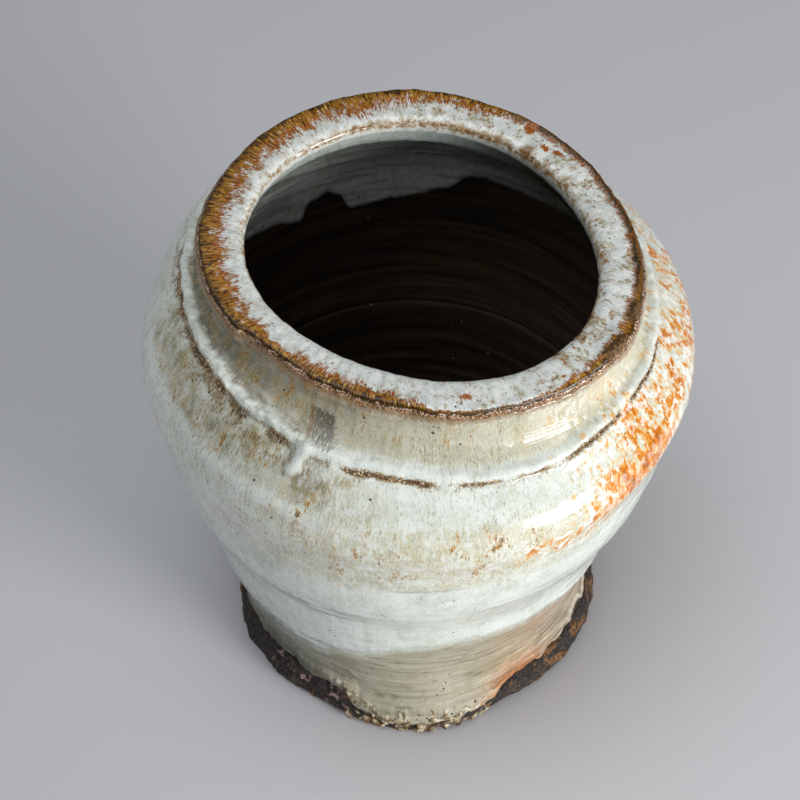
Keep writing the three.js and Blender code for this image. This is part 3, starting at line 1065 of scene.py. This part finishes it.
class Shader(Nodes):
    """Builds one material's nodes. Its colour is built up in layers."""

    def __init__(self, name):
        self.material = bpy.data.materials.new(name)
        self.material.use_nodes = True
        super().__init__(self.material.node_tree)
        self.places = self.value("flow", "Vector")
        self.layers = 0
        self.colour = None

    def value(self, name, output="Fac"):
        """What the mesh keeps under that name."""
        return self.node("Attribute", output, {}, attribute_name=name)

    def scaled(self, width, length):
        """The places in units of that width and length, moved so that no two layers repeat each other."""
        self.layers += 1
        units = [1 / width, 1 / width, 1 / length]
        inputs = {0: self.places, 1: units, 2: [0, 0, LAYER_SHIFT * self.layers]}
        return self.node("VectorMath", 0, inputs, operation="MULTIPLY_ADD")

    def noise(self, width, length, detail=3.0, rough=0.6, twist=0.0):
        """Noise from 0 to 1 with features of that width round the jar and length along it, in millimetres."""
        inputs = {"Vector": self.scaled(width, length), "Scale": 1.0}
        inputs.update(Detail=detail, Roughness=rough, Distortion=twist)
        return self.node("TexNoise", "Fac", inputs)

    def cells(self, size):
        """Distance from the nearest of scattered points, and a chance value for each point."""
        distance = self.node("TexVoronoi", "Distance", {"Vector": self.scaled(size, size), "Scale": 1.0})
        return distance, Value(self, distance.socket.node.outputs["Color"])

    def mix(self, share, first, second, kind="MIX"):
        inputs = {0: share, 6: first, 7: second}
        return self.node("Mix", 2, inputs, data_type="RGBA", blend_type=kind)

    def lay(self, colour, share, kind="MIX"):
        """Lays a colour over those so far, by that share."""
        self.colour = self.mix(share, self.colour, colour, kind)

    def finish(self, height, distance, strength=0.8, **inputs):
        """Sets the surface: its colour, its fine bumps and its other inputs."""
        bumps = {"Height": height, "Distance": distance, "Strength": strength}
        inputs = {"Base_Color": self.colour, "Normal": self.node("Bump", "Normal", bumps), **inputs}
        surface = self.tree.nodes["Principled BSDF"]
        for name, value in inputs.items():
            self.put(surface.inputs[name.replace("_", " ")], value)
        return self.material


def pinholes(shader, crowd=None):
    """Small dark pits in the glaze, more and larger where crowd is 1."""
    distance, chance = shader.cells(4.6)
    if crowd is None:
        over = chance - 0.68
    else:
        over = chance.past(0.68, crowd, 0.33)
        distance = distance * (1.0 - crowd * 0.54)
    pit = over.step(0.0, 0.02) * distance.until(0.05, 0.11)
    shader.lay((46, 44, 42), pit * 0.95)
    return pit


def grit_shades(clot, *shades):
    """Four shades of clotted grit."""
    return clot.ramp(*zip((0.4, 0.48, 0.54, 0.62), shades))


def milky_ground(shader, hair, streak, thick):
    """The pale glaze: clouds, olive veils, white blobs and a fine grain."""
    furred, grained, milky = (shader.value(name) for name in ("fur", "grainy", "milky"))
    cloud = shader.noise(12, 16, 4.0)
    shader.colour = shader.value("tint", "Color")
    shader.lay(cloud.tones((220, 221, 212), (246, 247, 243), (255, 255, 255), 0.16), 0.7, "MULTIPLY")
    runs = shader.noise(3.6, 24, 3.0).step(0.48, 0.62)
    shader.lay((208, 184, 136), runs * furred * 0.35)
    milk = shader.noise(1.8, 4.2, 5.0, 0.7).step(0.47, 0.64)
    shader.lay((240, 245, 240), milk * milky * 0.65)
    veil = (hair * 0.6 + streak * 0.4).step(0.48, 0.63)
    shader.lay((138, 128, 92), veil * ((0.08 + grained * 0.6) * thick))
    grain = shader.noise(0.42, 0.75, 3.0, 0.7)
    shader.lay((112, 104, 76), grain.step(0.52, 0.68) * grained * 0.5)
    shader.lay((240, 242, 234), grain.until(0.34, 0.46) * grained * 0.45)
    drift = shader.noise(6.0, 7.0, 5.0, 0.65).step(0.47, 0.63)
    shader.lay((238, 243, 237), drift * milky * 0.6)
    return cloud, grain


def turned_lines(shader, thin):
    """Level lines and short olive dashes that trimming left on the thin glaze, strongest where it is pink."""
    strong = thin * (0.38 + shader.value("striped") * 0.42)
    lines = shader.noise(30, 1.7, 4.0, 0.6)
    dark = shader.mix(0.75, shader.colour, (150, 132, 112), "MULTIPLY")
    shader.lay(dark, lines.step(0.46, 0.6) * strong)
    pale = shader.noise(24, 2.0, 4.0, 0.6)
    shader.lay((226, 218, 202), pale.step(0.5, 0.64) * strong * 0.7)
    dashes = shader.noise(3.4, 1.0, 3.0, 0.6)
    shader.lay((92, 80, 54), dashes.step(0.6, 0.7) * thin * 0.6)


def ochre_fur(shader):
    """Fine olive hairs all over, and clusters of golden flecks."""
    furred = shader.value("fur")
    hairs = shader.noise(0.3, 1.6, 3.0, 0.65).past(0.66, furred, 0.13)
    shader.lay((134, 112, 68), hairs.step(0.0, 0.07) * 0.6)
    strands = shader.noise(0.7, 2.2, 4.0, 0.68, 0.4)
    cluster = shader.noise(4.0, 9.0, 3.0)
    over = (strands * 0.6 + cluster * 0.4).past(0.67, furred, 0.15)
    shader.lay((212, 180, 112), over.step(-0.06, 0.02) * 0.45)
    gold = shader.noise(1.0, 1.4).tones((84, 66, 28), (160, 114, 42), (200, 128, 44), 0.12)
    shader.lay(gold, over.step(0.0, 0.05) * 0.95)


def rust_blotches(shader):
    """Soft rust, in strokes that join into patches round white blobs."""
    rusty = shader.value("rust")
    strokes = shader.noise(1.7, 4.4, 4.0, 0.6, 0.8)
    patches = shader.noise(5.5, 8.0, 3.0)
    over = (strokes * 0.62 + patches * 0.38).past(0.69, rusty, 0.22)
    shader.lay((232, 190, 104), over.step(-0.07, 0.0) * 0.5)
    heat = over * 3.0 + shader.noise(0.6, 1.2, 3.0, 0.7) * 0.5
    ember = heat.ramp(
        (0.22, (238, 184, 92)), (0.36, (228, 146, 46)), (0.55, (212, 122, 30)), (0.85, (164, 92, 26))
    )
    burnt = over.step(-0.025, 0.05)
    shader.lay(ember, burnt)
    blobs = shader.noise(2.6, 3.8, 3.0).step(0.51, 0.6)
    shader.lay((250, 250, 243), blobs * rusty.step(0.2, 0.6) * rusty.until(0.8, 1.4) * 0.85)
    return burnt


def smears(shader, hair, grain, crumble):
    """The dark smear with its brown side, and the scars of the trimming tool."""
    sooty = (shader.value("soot") + crumble.swing(1.6) + hair.swing(3.2)).step(0.25, 1.0)
    shader.lay((62, 64, 58), sooty * 0.75)
    browned = (shader.value("soot_edge") + hair.swing(2.0)).step(0.3, 0.8)
    shader.lay((116, 84, 36), browned * 0.7)
    cut = (shader.value("scar") + grain.swing(1.2)).step(0.3, 1.0)
    shader.lay((104, 94, 70), cut * 0.6)


def bare_ledge(shader, hair, crumble):
    """The crumbly clay under the ledge, and the brown that bleeds from it."""
    bare = shader.value("bare")
    torn = bare + crumble.swing(2.8) * bare.step(0.02, 0.3)
    bled = shader.value("stain") + crumble.swing(2.0) + hair.swing(2.0)
    shader.lay((132, 104, 55), bled.step(0.25, 0.85) * 0.82)
    shader.lay((58, 45, 24), bled.step(0.86, 1.15) * 0.85)
    shader.lay((168, 140, 92), torn.step(0.12, 0.5) * 0.6)
    open_clay = torn.step(0.42, 0.58)
    crust = crumble.ramp(
        (0.4, (28, 20, 8)), (0.49, (102, 72, 34)), (0.56, (170, 134, 86)), (0.64, (240, 224, 196))
    )
    shader.lay(crust, open_clay)
    return open_clay


def glaze_ends(shader, crumble):
    """The glaze under the lip, singed brown and darkened with painted shade, and the grit stuck to its lower
    edge.
    """
    # Painted shade with singed brown under the lip.
    shaded_and_singed = (shader.value("lip_shade_and_singe") + crumble.swing(1.8)).step(0.35, 1.0)
    shader.lay((140, 104, 66), shaded_and_singed * 0.7)
    clot = shader.noise(2.6, 2.0, 4.0, 0.6)
    gritty = (shader.value("crumbs") + clot.swing(1.6)).step(0.3, 0.75)
    grit = grit_shades(clot, (84, 64, 42), (140, 116, 78), (190, 174, 140), (236, 228, 208))
    shader.lay(grit, gritty * 0.9)
    return gritty


def body_glaze_material():
    shader = Shader("milky_body_glaze")
    hair = shader.noise(0.34, 2.2, 4.0, 0.65)
    streak = shader.noise(1.2, 7.0, 4.0, 0.62)
    thin = shader.value("thin")
    thick = 1.0 - thin
    cloud, grain = milky_ground(shader, hair, streak, thick)
    turned_lines(shader, thin)
    ochre_fur(shader)
    burnt = rust_blotches(shader)
    crumble = shader.noise(1.0, 0.8, 4.0, 0.7)
    smears(shader, hair, grain, crumble)
    open_clay = bare_ledge(shader, hair, crumble)
    matt = open_clay + glaze_ends(shader, crumble)
    pit = pinholes(shader, shader.value("pitted"))
    comb = shader.value("comb")
    gloss = 0.1 + thin * 0.42 + matt * 0.4 + burnt * 0.1 + comb * 0.12
    along = shader.node("SeparateXYZ", "Z", {0: shader.places})
    lines = shader.math("SINE", along * (2 * math.pi / COMB_SPACING))
    height = lines * comb * 0.2 + cloud * 0.8 + streak * 0.1 + hair * 0.06
    height = height + crumble * matt * 2.0 + grain * thin * 0.5 + pit * -1.2
    return shader.finish(height, 0.00035, Roughness=gloss, Coat_Weight=thick * 0.25, Coat_Roughness=0.04)


def mouth_ground(shader):
    """The bluish white of the lip, with tan clouds and rust flecks, most on its right half."""
    speck = shader.value("speck")
    mottle = shader.noise(2.4, 2.4, 5.0, 0.65)
    shader.colour = mottle.ramp((0.36, (222, 224, 215)), (0.5, (242, 245, 239)), (0.62, (253, 254, 251)))
    shader.lay((150, 150, 134), shader.noise(0.4, 0.6, 3.0, 0.7).step(0.54, 0.68) * 0.2)
    cloud = shader.noise(4.4, 4.4, 5.0, 0.68)
    shader.lay((190, 178, 138), cloud.step(0.5, 0.62) * speck * 0.7)
    olive = shader.noise(1.5, 1.7, 4.0, 0.7).step(0.52, 0.6)
    shader.lay((118, 98, 54), olive * cloud.step(0.48, 0.58) * speck * 0.8)
    flecks = shader.noise(1.4, 1.9, 3.0, 0.65) + cloud.swing(0.5) + speck * 0.05
    shader.lay((176, 100, 30), flecks.step(0.67, 0.71) * speck.step(0.1, 0.5) * 0.9)
    return mottle


def burnt_edge(shader, hair, grain):
    """The lip's burnt ochre: golden threads, dark at the edge, and rust strokes where it ends."""
    burn, rolled, drip = (shader.value(name) for name in ("burn", "rolled", "drip"))
    patch = shader.noise(3.0, 3.0, 3.0)
    broad = shader.noise(0.9, 4.0, 4.0, 0.6)
    wander = hair.swing(1.1) + broad.swing(1.2) + patch.swing(2.2)
    inward = burn + wander * (1.0 - rolled * 0.6)
    gold = (hair * 0.4 + broad * 0.35 + grain * 0.25).ramp(
        (0.42, (72, 44, 0)), (0.47, (158, 88, 4)), (0.52, (198, 134, 20)), (0.57, (214, 166, 64)),
        (0.63, (232, 200, 124)),
    )
    gold = shader.mix(patch.step(0.46, 0.58) * inward.until(0.4, 1.0) * 0.45, gold, (90, 62, 2))
    gold = shader.mix(inward.until(0.0, 0.4) * 0.85, gold, (40, 26, 0))
    edge = inward.ramp(
        (0.0, (104, 66, 10)), (0.28, (124, 78, 12)), (0.4, (26, 18, 2)), (0.6, (34, 25, 4)),
        (0.8, (140, 92, 24)),
    )
    edge = shader.mix(grain.step(0.5, 0.62) * 0.35, edge, (180, 126, 50))
    wash = inward.until(0.58, 1.06)
    shader.lay(shader.mix(rolled, gold, edge), wash)
    near = burn.step(0.2, 0.7) * burn.until(0.9, 1.7)
    field = shader.noise(0.5, 1.9, 4.0) * 0.55 + broad * 0.45
    strokes = field.past(0.67, near, 0.18).step(0.0, 0.05)
    torn = (grain.swing(3.0) + broad.swing(3.0)) * drip.step(0.05, 0.4)
    streaked = (drip + torn).step(0.4, 0.6)
    rusty = grain.ramp((0.38, (104, 48, 2)), (0.5, (166, 82, 8)), (0.64, (208, 132, 44)))
    shader.lay(rusty, shader.math("MAXIMUM", strokes, streaked))
    rim = (shader.value("inward") + grain.swing(2.4)).until(0.3, 0.9)
    shader.lay((44, 30, 4), rim * 0.7)
    return wash


def mouth_edge(shader, grain):
    """The brown blots round the mouth's inner edge, and the crust of the chipped edge at the right."""
    blots = shader.noise(2.6, 1.4, 4.0, 0.7)
    brim = shader.value("brim") + blots.swing(2.4) + grain.swing(0.8)
    shader.lay((170, 138, 86), brim.step(0.3, 0.9) * 0.7)
    shader.lay(grain.tones((66, 46, 18), (120, 86, 40), (176, 116, 56)), brim.step(0.75, 1.1) * 0.9)
    crust = (shader.value("crust") + grain.swing(2.0)).step(0.4, 0.75)
    shader.lay(grain.tones((28, 20, 9), (84, 60, 22), (160, 116, 58)), crust)
    return crust


def inside_runs(shader):
    """The inside glaze with painted shade: dark below the mouth's inner edge, darkest on the right, with
    faint rings and runs.
    """
    # Painted shade inside the mouth, strongest just below its inner edge.
    shader.lay((200, 207, 204), shader.value("inside"), "MULTIPLY")
    rings = shader.noise(34, 3.0, 3.0, 0.55).step(0.42, 0.64)
    runs = shader.noise(3.4, 22, 3.0, 0.55).step(0.52, 0.72) * 0.6
    marks = shader.math("MAXIMUM", rings, runs) * shader.value("wall") * 0.65
    shader.lay((140, 144, 138), marks, "MULTIPLY")
    # Painted shade over the right of the inside.
    shader.lay((96, 90, 78), shader.value("painted_inside_shade"), "MULTIPLY")


def mouth_glaze_material():
    shader = Shader("bluish_mouth_glaze")
    hair = shader.noise(0.4, 1.9, 4.0, 0.68)
    grain = shader.noise(0.5, 0.6, 3.0, 0.7)
    mottle = mouth_ground(shader)
    wash = burnt_edge(shader, hair, grain)
    crust = mouth_edge(shader, grain)
    pit = pinholes(shader)
    inside_runs(shader)
    height = mottle * 0.4 + hair * 0.1 + grain * wash * 0.6 + grain * crust * 1.5 + pit * -1.2
    gloss = crust * 0.15 + wash * 0.1 + 0.14
    coat_weight = (1.0 - wash) * 0.2
    return shader.finish(height, 0.0003, Roughness=gloss, Coat_Weight=coat_weight, Coat_Roughness=0.04)


def rim_clay_material():
    shader = Shader("gritty_rim_clay")
    grain = shader.noise(0.6, 0.5, 4.0, 0.7)
    patch = shader.noise(5, 3)
    shader.colour = grain.tones((36, 22, 6), (116, 74, 28), (200, 154, 94), 0.1)
    light = grain.tones((74, 44, 18), (160, 100, 48), (226, 180, 124), 0.1)
    shader.lay(light, patch.step(0.42, 0.58))
    # Painted glints along the crest of the lip's edge.
    painted_glint = grain.step(0.5, 0.6) * patch.step(0.36, 0.54) * shader.value("glint_crest")
    shader.lay((255, 246, 228), painted_glint * 0.9)
    return shader.finish(grain, 0.0007, 1.0, Roughness=0.22, Coat_Weight=0.6, Coat_Roughness=0.05)


def body_clay_material():
    shader = Shader("brown_body_clay")
    grain = shader.noise(0.8, 0.8, 4.0, 0.65)
    bands = shader.noise(60, 2.2, 4.0)
    # The clay's own dark brown, darkened further as painted shade for the jar's dark inside.
    shader.colour = bands.tones((26, 17, 7), (46, 31, 15), (72, 50, 27), 0.16)
    shader.lay((74, 54, 32), grain.step(0.54, 0.7) * 0.35)
    distance, chance = shader.cells(6.0)
    shader.lay((150, 136, 118), chance.step(0.62, 0.64) * distance.until(0.06, 0.1) * 0.8)
    return shader.finish(grain + bands, 0.0004, Roughness=0.7)


def bare_clay_material():
    shader = Shader("scorched_foot_clay")
    grain = shader.noise(0.9, 0.8, 4.0, 0.7)
    patch = shader.noise(8, 5, 4.0)
    shader.colour = grain.tones((16, 14, 13), (40, 35, 33), (84, 72, 68))
    warm = grain.tones((44, 28, 14), (104, 70, 36), (170, 124, 72))
    shader.lay(warm, (patch + shader.value("warm") * 0.25).step(0.58, 0.74))
    shader.lay((112, 84, 58), shader.value("crag").step(0.5, 1.1) * 0.3)
    clot = shader.noise(2.6, 2.0, 4.0, 0.6)
    pale = grit_shades(clot, (66, 48, 30), (124, 98, 62), (178, 158, 120), (232, 222, 198))
    shader.lay(pale, shader.value("grit").step(0.15, 0.45))
    pink = grain.tones((80, 60, 60), (136, 106, 104), (190, 162, 156))
    shader.lay(pink, shader.value("pink").step(0.25, 0.6))
    return shader.finish(grain, 0.0006, 1.0, Roughness=0.75)


# The studio


def floor():
    corners = [(x * FLOOR_HALF, y * FLOOR_HALF, 0) for x, y in ((-1, -1), (1, -1), (1, 1), (-1, 1))]
    mesh = bpy.data.meshes.new("studio_floor")
    mesh.from_pydata(corners, [], [(0, 1, 2, 3)])
    material = bpy.data.materials.new("pale_floor")
    material.use_nodes = True
    surface = material.node_tree.nodes["Principled BSDF"]
    surface.inputs["Base Color"].default_value = (*linear(*FLOOR_COLOUR), 1.0)
    surface.inputs["Roughness"].default_value = 0.8
    mesh.materials.append(material)
    piece = placed("studio_floor", mesh)


def softbox(name, azimuth, elevation, distance, width, height, power):
    """A rectangular light that faces the jar. Azimuth 0 is the front and 90 the right."""
    a, e = math.radians(azimuth), math.radians(elevation)
    direction = Vector((math.sin(a) * math.cos(e), -math.cos(a) * math.cos(e), math.sin(e)))
    data = bpy.data.lights.new(name, "AREA")
    data.shape = "RECTANGLE"
    data.size = width
    data.size_y = height
    data.energy = power
    light = placed(name, data)
    light.location = Vector(LIGHT_TARGET) + direction * distance
    light.rotation_euler = direction.to_track_quat("Z", "Y").to_euler()


def sky():
    """Soft light from all round, strongest overhead and a little to the left."""
    world = bpy.data.worlds.new("studio_world")
    world.use_nodes = True
    nodes = Nodes(world.node_tree)
    facing = nodes.node("TexCoord", "Generated", {})
    strength = nodes.node("VectorMath", "Value", {0: facing, 1: OVERHEAD_FROM}, operation="DOT_PRODUCT")
    steps = (("MAXIMUM", 0.0), ("POWER", OVERHEAD_FOCUS), ("MULTIPLY", OVERHEAD), ("ADD", AMBIENT))
    for operation, amount in steps:
        strength = nodes.math(operation, strength, amount)
    background = world.node_tree.nodes["Background"]
    nodes.put(background.inputs["Color"], SKY_COLOUR)
    nodes.put(background.inputs["Strength"], strength)
    bpy.context.scene.world = world


def studio():
    floor()
    softbox("key_softbox", azimuth=51, elevation=12, distance=1.3, width=0.54, height=0.34, power=14.4)
    softbox("low_fill", azimuth=22, elevation=4, distance=1.8, width=1.2, height=0.5, power=3.2)
    sky()
    bpy.context.scene.view_settings.view_transform = "Standard"


def camera():
    data = bpy.data.cameras.new("camera")
    data.sensor_width = CAMERA_SENSOR
    data.lens = CAMERA_LENS
    eye = placed("camera", data)
    facing = Vector(CAMERA_FORWARD).normalized().to_track_quat("-Z", "Y")
    eye.matrix_world = Matrix.Translation(CAMERA_PLACE) @ facing.to_matrix().to_4x4()
    bpy.context.scene.camera = eye


studio()
camera()
body_glaze_piece(body_glaze_material())
mouth_glaze_piece(mouth_glaze_material())
mouth_ring_piece(rim_clay_material())
clay_walls(body_clay_material())
foot_slab_piece(bare_clay_material())
